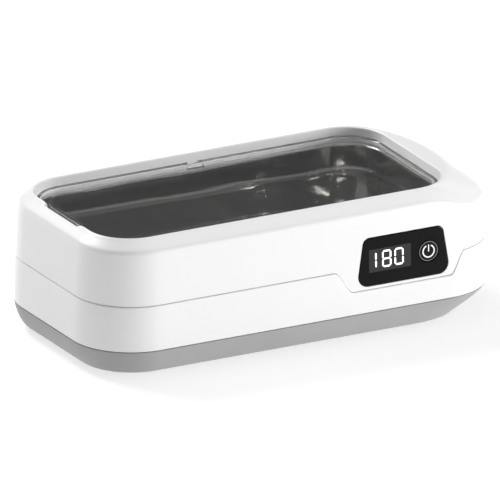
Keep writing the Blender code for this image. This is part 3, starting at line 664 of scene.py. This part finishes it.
def make_upper_shell(paint):
    half_gap = SEAM_GAP / 2
    wall_top = body_loop(crease_height(-1.9), 0.0)
    crease = body_loop(crease_height(0.0), 0.0)
    shoulder = shoulder_loop()
    crest = crest_loop(RIM - CREST_START, CREST_INSET)
    lip = rim_loop(RIM, 0.9)
    band_start = between(crease, shoulder, 0.22)
    wall_foot = body_loop(seam_height(half_gap + 0.2), 0.0)
    rings = [body_loop(seam_height(half_gap), 0.2), wall_foot, between(wall_foot, wall_top, 0.5)]
    rings += rounded(wall_top, crease, band_start, 6)
    rings += rounded(between(crease, shoulder, 0.5), shoulder, between(shoulder, crest, 0.6), 8)
    rings += rounded(between(shoulder, crest, 0.75), crest, between(crest, lip, 0.4), 6)
    rings += rounded(between(crest, lip, 0.7), rim_loop(RIM, 0.1), rim_loop(RIM - 0.9, 0.0), 6)
    rings += [
        opening_loop(LEDGE + 2.0, 0.0),
        opening_loop(LEDGE, 0.0),
        opening_loop(LEDGE, WALL),
        opening_loop(LEDGE + 1.8, WALL),
        body_loop(crease_height(-2.6), WALL),
        body_loop(seam_height(half_gap), WALL),
    ]
    shell = loft("shell_upper", rings, "ring")
    cut(shell, loft("panel_hole", [panel_ring(0.22, -3.0), panel_ring(0.22, 4.0)]))
    start = OPENING_LEFT - POCKET_REACH
    pocket = rounded_rectangle(start, OPENING_LEFT + 6.0, -SCOOP_HALF, SCOOP_HALF, 1.2)
    cut(shell, prisms("tab_pocket", [(pocket, POCKET_FLOOR, RIM + 5.0)], "Z"))
    return place_piece(shell, "housing", paint["white_housing"], ["upper_housing"])


def make_lower_shell(paint):
    half_gap = SEAM_GAP / 2
    start = BASE_TOP + BASE_JOINT
    foot = body_loop(start + 0.25, 0.02)
    head = body_loop(seam_height(-half_gap - 0.7), -LOWER_PROUD)
    rings = [
        body_loop(start, 0.25),
        foot,
        between(foot, head, 0.5),
        head,
        body_loop(seam_height(-half_gap - 0.3), -LOWER_PROUD + 0.05),
        body_loop(seam_height(-half_gap - 0.08), -LOWER_PROUD + 0.2),
        body_loop(seam_height(-half_gap), -LOWER_PROUD + 0.5),
        body_loop(seam_height(-half_gap), WALL + GAP),
        body_loop(tongue_height(-half_gap, TONGUE_RISE), WALL + GAP),
        body_loop(tongue_height(-half_gap, TONGUE_RISE), WALL + TONGUE_THICK),
        body_loop(seam_height(-2.2), WALL + TONGUE_THICK),
        body_loop(seam_height(-3.7), WALL),
        body_loop(start, WALL - 0.2),
    ]
    shell = loft("shell_lower", rings, "ring")
    socket = stadium((0.0, INLET_Z), *INLET_HOLE)
    cut(shell, prisms("inlet_hole", [(socket, *INLET_HOLE_SPAN)], "X"))
    return place_piece(shell, "housing", paint["white_housing"], ["lower_housing"])


def undercut(height, station):
    """How far the base has drawn in at this height. Its +X end slopes in further."""
    drop = min((BASE_TOP - height) / (BASE_TOP - BASE_BOTTOM), 1.0)
    even = BASE_UNDERCUT * (0.25 * drop + 0.75 * (1.0 - math.sqrt(max(1.0 - drop * drop, 0.0))))
    start, end = END_UNDERCUT_SPAN
    x, _ = body_point(station, BASE_TOP, 0.0)
    return even + smooth_step((x - start) / (end - start)) * (END_UNDERCUT * drop**1.2 - even)


def base_loop(height, inset):
    """One ring of the base, moved inwards from its undercut face by inset."""
    ring = []
    for station in STATIONS:
        place = body_point(station, height, undercut(height, station) + inset)
        ring.append(Vector((*place, height)))
    return ring


def node_middle(node):
    low, high = box_mm(node)
    return (low.x + high.x) / 2, (low.y + high.y) / 2


def make_base_tray(paint):
    top = BASE_TOP - BASE_JOINT
    floor = BASE_BOTTOM + WALL
    rings = [
        base_loop(floor, WALL + 0.6),
        base_loop(8.0, WALL),
        body_loop(top, 3.4),
        body_loop(BASE_TOP + 2.1, 3.4),
        body_loop(BASE_TOP + 2.1, WALL + 0.1),
        body_loop(top, WALL + 0.1),
        body_loop(top, 0.35),
        base_loop(top - 0.25, 0.05),
    ]
    for angle in even_steps(8.0, 90.0, 14):
        height = BASE_TOP - (BASE_TOP - BASE_BOTTOM) * math.sin(math.radians(angle))
        rings.append(base_loop(height, 0.0))
    tray = loft("base_tray", rings)
    screws = [node_middle(f"housing_screw_{number}") for number in range(1, 5)]
    feet = [node_middle(f"foot_{number}") for number in range(1, 5)]
    holes = [(circle(spot, SCREW_HOLE[0]), 0.0, SCREW_HOLE[1]) for spot in screws]
    holes += [(circle(spot, FOOT_HOLE[0], 48), 0.0, FOOT_HOLE[1]) for spot in feet]
    cut(tray, prisms("tray_holes", holes, "Z"))
    return place_piece(tray, "housing", paint["grey_base"], ["base_cover"])


def make_feet(paint):
    """Rubber feet with a rounded edge and a ring groove in the sole."""
    profile = [(5.5, 2.5), (5.5, 0.9), (5.35, 0.45), (4.95, 0.12), (4.5, 0.0), (3.3, 0.0)]
    profile += [(3.1, 0.35), (2.5, 0.35), (2.3, 0.0), (0.6, 0.0)]
    for number in range(1, 5):
        name = f"foot_{number}"
        spot = node_middle(name)
        rings = []
        for radius, height in profile:
            rings.append([(*point, height) for point in circle(spot, radius, 48)])
        foot = loft(f"rubber_{name}", rings)
        place_piece(foot, "housing", paint["seal_rubber"], [name])


# --- Tank and lid -----------------------------------------------------------------------------


def tank_wall(height):
    climb = (height - TANK_FLOOR) / (TANK_FLANGE - TANK_FLOOR)
    return TANK_INSET + TANK_DRAFT * (1.0 - climb)


def make_tank(paint):
    start = TANK_FLOOR + TANK_FILLET
    inside = [(TANK_FLOOR, tank_wall(start) + TANK_FILLET + 6.0)]
    for angle in even_steps(90.0, 0.0, 12):
        turn = math.radians(angle)
        height = start - TANK_FILLET * math.sin(turn)
        inside.append((height, tank_wall(start) + TANK_FILLET * (1.0 - math.cos(turn))))
    inside.append((BEAD_HEIGHT - 4.0, tank_wall(BEAD_HEIGHT - 4.0)))
    for step in range(9):
        height = BEAD_HEIGHT - 1.8 + 3.6 * step / 8
        swell = BEAD * (0.5 - 0.5 * math.cos(2 * math.pi * step / 8))
        inside.append((height, tank_wall(height) + swell))
    inside.append((TANK_FLANGE - 1.0, TANK_INSET))
    rings = [opening_loop(height, -inset) for height, inset in inside]
    edge = opening_loop(TANK_FLANGE, -TANK_INSET)
    rings += rounded(rings[-1], edge, opening_loop(TANK_FLANGE, -TANK_INSET + 1.0), 5)[1:]
    rings.append(opening_loop(TANK_FLANGE, FLANGE_REACH))
    rings.append(opening_loop(TANK_FLANGE - SHEET, FLANGE_REACH))
    rings.append(opening_loop(TANK_FLANGE - SHEET, SHEET - TANK_INSET + 0.2))
    for height, inset in reversed(inside[:-1]):
        share = min(max((start - height) / TANK_FILLET, 0.0), 1.0)
        rings.append(opening_loop(height - SHEET * share**2, SHEET * (1.0 - 0.6 * share**2) - inset))
    tank = loft("tank_pressing", rings)
    return place_piece(tank, "housing", paint["tank_steel"], ["tank"])


def make_lid(paint):
    low = LID_LOW.z
    under = LID_TOP - LID_PLATE
    inner = LID_CLEARANCE + LID_SKIRT
    rings = rounded(
        opening_loop(under, -inner - 1.4),
        opening_loop(under, -inner),
        opening_loop(under - 1.4, -inner),
        6,
    )
    rings += [
        opening_loop(low + 0.25, -inner),
        opening_loop(low, -inner + 0.25),
        opening_loop(low, -LID_CLEARANCE - 0.25),
        opening_loop(low + 0.25, -LID_CLEARANCE),
    ]
    rings += rounded(
        opening_loop(LID_TOP - 1.7, -LID_CLEARANCE),
        opening_loop(LID_TOP, -LID_CLEARANCE),
        opening_loop(LID_TOP, -LID_CLEARANCE - 1.9),
        8,
    )
    lid = loft("lid_clear", rings)
    edge = OPENING_LEFT + LID_CLEARANCE
    end = OPENING_LEFT - TAB_REACH
    tab_low = POCKET_FLOOR + 0.4
    tab_high = LID_HIGH.z
    outline = [
        (edge + 0.4, LID_TOP - 0.9),
        (edge + 2.2, LID_TOP - 0.9),
        (edge + 2.2, tab_high - 0.6),
        (edge + 2.05, tab_high - 0.2),
        (edge + 1.6, tab_high),
        (end + 0.5, tab_high),
        (end + 0.15, tab_high - 0.15),
        (end, tab_high - 0.5),
        (end, tab_low),
        (edge + 0.4, tab_low),
    ]
    cut(lid, prisms("lid_tab", [(outline, -TAB_HALF, TAB_HALF)], "Y"), "UNION")
    arch = circle((ARCH_X, TANK_FLANGE), ARCH_RADIUS, 48)
    cut(lid, prisms("lid_arches", [(arch, *span) for span in ARCH_SPANS], "Y"))
    lid.visible_shadow = False
    return place_piece(lid, "lid", paint["clear_lid"], ["lid"])


# --- Display and key --------------------------------------------------------------------------


def make_panel(paint):
    back = WALL + GAP
    rings = rounded(
        panel_ring(-0.5, -PANEL_PROUD),
        panel_ring(0.0, -PANEL_PROUD),
        panel_ring(0.0, -PANEL_PROUD + 0.4),
        4,
    )
    rings += [panel_ring(0.0, back), panel_ring(1.2, back), panel_ring(1.2, back + 1.0)]
    panel = loft("panel_gloss", rings)
    hole = [(circle((KEY_X, KEY_Z), KEY_RADIUS + 0.18, 64), -60.0, -45.0)]
    cut(panel, prisms("key_hole", hole, "Y"))
    return place_piece(panel, "housing", paint["black_window"], ["display_window"])


def on_panel(name, outlines, proud, thickness):
    """Flat printed shapes that follow the drafted front wall."""
    work = bmesh.new()
    for outline in outlines:
        rings = []
        for depth in (-PANEL_PROUD - proud, -PANEL_PROUD - proud + thickness):
            rings.append([(x, front_wall(z) + depth, z) for x, z in outline])
        add_loft(work, rings, "solid")
    return piece_from(name, work)


def segment_bar(start, end):
    """A pointed bar of the digit, from one end of its middle line to the other."""
    start, end = Vector(start), Vector(end)
    along = (end - start).normalized()
    start += along * SEGMENT_CLEARANCE
    end -= along * SEGMENT_CLEARANCE
    side = Vector((-along.y, along.x)) * STROKE / 2
    tip = along * STROKE / 2
    points = [start, start + tip - side, end - tip - side, end, end - tip + side, start + tip + side]
    return [tuple(point) for point in points]


def make_display(paint):
    screen = rounded_rectangle(LED_LOW.x, LED_HIGH.x, LED_LOW.z, LED_HIGH.z, 0.3, 3)
    piece = on_panel("led_screen", [screen], 0.02, 0.1)
    place_piece(piece, "housing", paint["display_face"])
    bars = []
    inset = STROKE / 2
    for centre, digit in DIGIT_CENTRES:
        left, right = centre - DIGIT_WIDTH / 2 + inset, centre + DIGIT_WIDTH / 2 - inset
        low, high = DIGIT_LOW + inset, DIGIT_HIGH - inset
        middle = (low + high) / 2
        ends = {
            "a": ((left, high), (right, high)),
            "b": ((right, high), (right, middle)),
            "c": ((right, middle), (right, low)),
            "d": ((left, low), (right, low)),
            "e": ((left, middle), (left, low)),
            "f": ((left, high), (left, middle)),
            "g": ((left, middle), (right, middle)),
        }
        bars += [segment_bar(*ends[letter]) for letter in SEGMENTS[digit]]
    piece = on_panel("led_digits", bars, 0.04, 0.06)
    place_piece(piece, "housing", paint["lit_digits"])


def ring_sector(radius, width, start, end, steps=48):
    """The inner and outer outline of a flat ring, or of part of one, round the key's middle."""
    inner = []
    outer = []
    for angle in even_steps(start, end, steps):
        turn = math.radians(angle)
        direction = Vector((math.cos(turn), math.sin(turn)))
        middle = Vector((KEY_X, KEY_Z))
        inner.append(tuple(middle + direction * (radius - width / 2)))
        outer.append(tuple(middle + direction * (radius + width / 2)))
    return inner, outer


def make_key(paint):
    profile = [
        (KEY_RADIUS - 0.7, KEY_FACE),
        (KEY_RADIUS - 0.3, KEY_FACE + 0.06),
        (KEY_RADIUS - 0.08, KEY_FACE + 0.25),
        (KEY_RADIUS, KEY_FACE + 0.6),
        (KEY_RADIUS, KEY_COLLAR),
        (KEY_RADIUS + KEY_COLLAR_REACH, KEY_COLLAR),
        (KEY_RADIUS + KEY_COLLAR_REACH, KEY_HIGH.y),
    ]
    rings = []
    for radius, along in profile:
        outline = circle((KEY_X, KEY_Z), radius, 64)
        rings.append([on_axis("Y", *point, along) for point in outline])
    place_piece(loft("key_cap", rings), "power_key", paint["black_key"], ["power_button"])

    start, end = 90.0 + SYMBOL_OPENING, 450.0 - SYMBOL_OPENING
    inner, outer = ring_sector(SYMBOL_RADIUS, SYMBOL_STROKE, start, end)
    left, right = KEY_X - SYMBOL_BAR_HALF, KEY_X + SYMBOL_BAR_HALF
    bar = rounded_rectangle(left, right, KEY_Z + SYMBOL_BAR[0], KEY_Z + SYMBOL_BAR[1], 0.2, 3)
    span = (KEY_FACE - SYMBOL_PROUD, KEY_FACE + SYMBOL_PROUD)
    shapes = [(outer + list(reversed(inner)), *span), (bar, *span)]
    place_piece(prisms("key_symbol", shapes, "Y"), "power_key", paint["printed_white"])
    # Painted highlight: a thin grey ring on the key face where the chamfered edge catches the light.
    inner, outer = ring_sector(KEY_RADIUS - RING_INSET, RING_WIDTH, 0.0, 359.999, 96)
    rings = []
    for outline, along in ((inner, 0.03), (outer, 0.03), (outer, -0.02), (inner, -0.02)):
        rings.append([on_axis("Y", *point, KEY_FACE + along) for point in outline[:-1]])
    place_piece(loft("key_edge_highlight", rings, "ring"), "power_key", paint["painted_edge_highlight"])


# --- Carried-over CAD nodes -------------------------------------------------------------------

BEVELLED = ("power_inlet", "inlet_pin", "housing_screw", "fuse_clip", "mosfet", "film_capacitor")
BEVELLED = BEVELLED + ("mains_terminal", "display_connector", "transducer_connector", "bridge")


def dress_cad_nodes(paint):
    slots = {entry["node"]: entry["material_slot"] for entry in frame["record"]["subparts"]}
    for name, node in frame["nodes"].items():
        node.data.materials.clear()
        node.data.materials.append(paint[slots[name]])
        if name.startswith(BEVELLED):
            bevel = node.modifiers.new("edges", "BEVEL")
            bevel.width = 0.2 * MM
            bevel.segments = 2
            bevel.limit_method = "ANGLE"
            bevel.angle_limit = math.radians(40.0)
            bevel.harden_normals = False


# --- Stage ------------------------------------------------------------------------------------

# Metres and degrees. SKY holds (height of the direction, level) pairs.
AIM = (0.0, 0.0, 0.03)
CAMERA_AIM = (0.0, 0.0, 0.03205)
CAMERA_AZIMUTH = -27.95
CAMERA_ELEVATION = 19.93
CAMERA_DISTANCE = 0.8
CAMERA_SPAN = 0.2301
FLOOR_TONE = (0.42, 0.42, 0.42)
FLOOR_GLOW = 0.66
SKY = ((0.0, 0.6), (0.06, 0.5), (0.12, 0.02), (1.0, 0.74))
LIGHTS = (
    ("front_right", (1.15, -0.96, 0.2), AIM, (0.9, 0.4), 18.5),
    ("back_high", (-0.26, 0.75, 0.95), AIM, (0.5, 0.5), 12.5),
)


def area_light(name, place, aim, size, power):
    light = bpy.data.lights.new(name, "AREA")
    light.shape = "RECTANGLE"
    light.size = size[0]
    light.size_y = size[1]
    light.energy = power
    lamp = bpy.data.objects.new(name, light)
    lamp.location = place
    lamp.rotation_euler = (Vector(aim) - Vector(place)).to_track_quat("-Z", "Y").to_euler()
    bpy.context.scene.collection.objects.link(lamp)
    return lamp


def make_stage():
    work = bmesh.new()
    bmesh.ops.create_grid(work, x_segments=1, y_segments=1, size=4.0)
    mesh = bpy.data.meshes.new("floor")
    work.to_mesh(mesh)
    work.free()
    floor = bpy.data.objects.new("floor", mesh)
    bpy.context.scene.collection.objects.link(floor)
    pale = Surface("pale_floor", FLOOR_TONE, 0.6)
    pale.mottle(FLOOR_TONE, 3.0, 0.005)
    pale.shader.inputs["Emission Color"].default_value = (1.0, 1.0, 1.0, 1.0)
    pale.shader.inputs["Emission Strength"].default_value = FLOOR_GLOW
    pale.shader.inputs["Specular IOR Level"].default_value = 0.1
    floor.data.materials.append(pale.material)

    world = bpy.data.worlds.new("soft_white")
    bpy.context.scene.world = world
    world.use_nodes = True
    nodes = world.node_tree.nodes
    links = world.node_tree.links
    backdrop = nodes["Background"]
    backdrop.inputs["Strength"].default_value = 1.0
    direction = nodes.new("ShaderNodeTexCoord").outputs["Generated"]
    split = nodes.new("ShaderNodeSeparateXYZ")
    links.new(direction, split.inputs["Vector"])
    sky = nodes.new("ShaderNodeValToRGB")
    while len(sky.color_ramp.elements) < len(SKY):
        sky.color_ramp.elements.new(0.5)
    for element, (place, level) in zip(sky.color_ramp.elements, SKY):
        element.position = place
        element.color = (level, level, level, 1.0)
    links.new(split.outputs["Z"], sky.inputs["Fac"])
    links.new(sky.outputs["Color"], backdrop.inputs["Color"])

    for light in LIGHTS:
        area_light(*light)


def make_camera():
    azimuth = math.radians(CAMERA_AZIMUTH)
    elevation = math.radians(CAMERA_ELEVATION)
    level = Vector((math.sin(azimuth), -math.cos(azimuth), 0.0))
    back = level * math.cos(elevation) + Vector((0.0, 0.0, math.sin(elevation)))
    lens = bpy.data.cameras.new("camera")
    lens.type = "ORTHO"
    lens.ortho_scale = CAMERA_SPAN
    lens.clip_start = 0.01
    lens.clip_end = 20.0
    camera = bpy.data.objects.new("camera", lens)
    camera.location = Vector(CAMERA_AIM) + back * CAMERA_DISTANCE
    camera.rotation_euler = (-back).to_track_quat("-Z", "Y").to_euler()
    bpy.context.scene.collection.objects.link(camera)
    bpy.context.scene.camera = camera


def build():
    paint = make_materials()
    make_camera()
    dress_cad_nodes(paint)
    make_upper_shell(paint)
    make_lower_shell(paint)
    make_base_tray(paint)
    make_feet(paint)
    make_tank(paint)
    make_lid(paint)
    make_panel(paint)
    make_display(paint)
    make_key(paint)
    make_stage()
    bpy.context.scene.view_settings.view_transform = "Standard"


build()
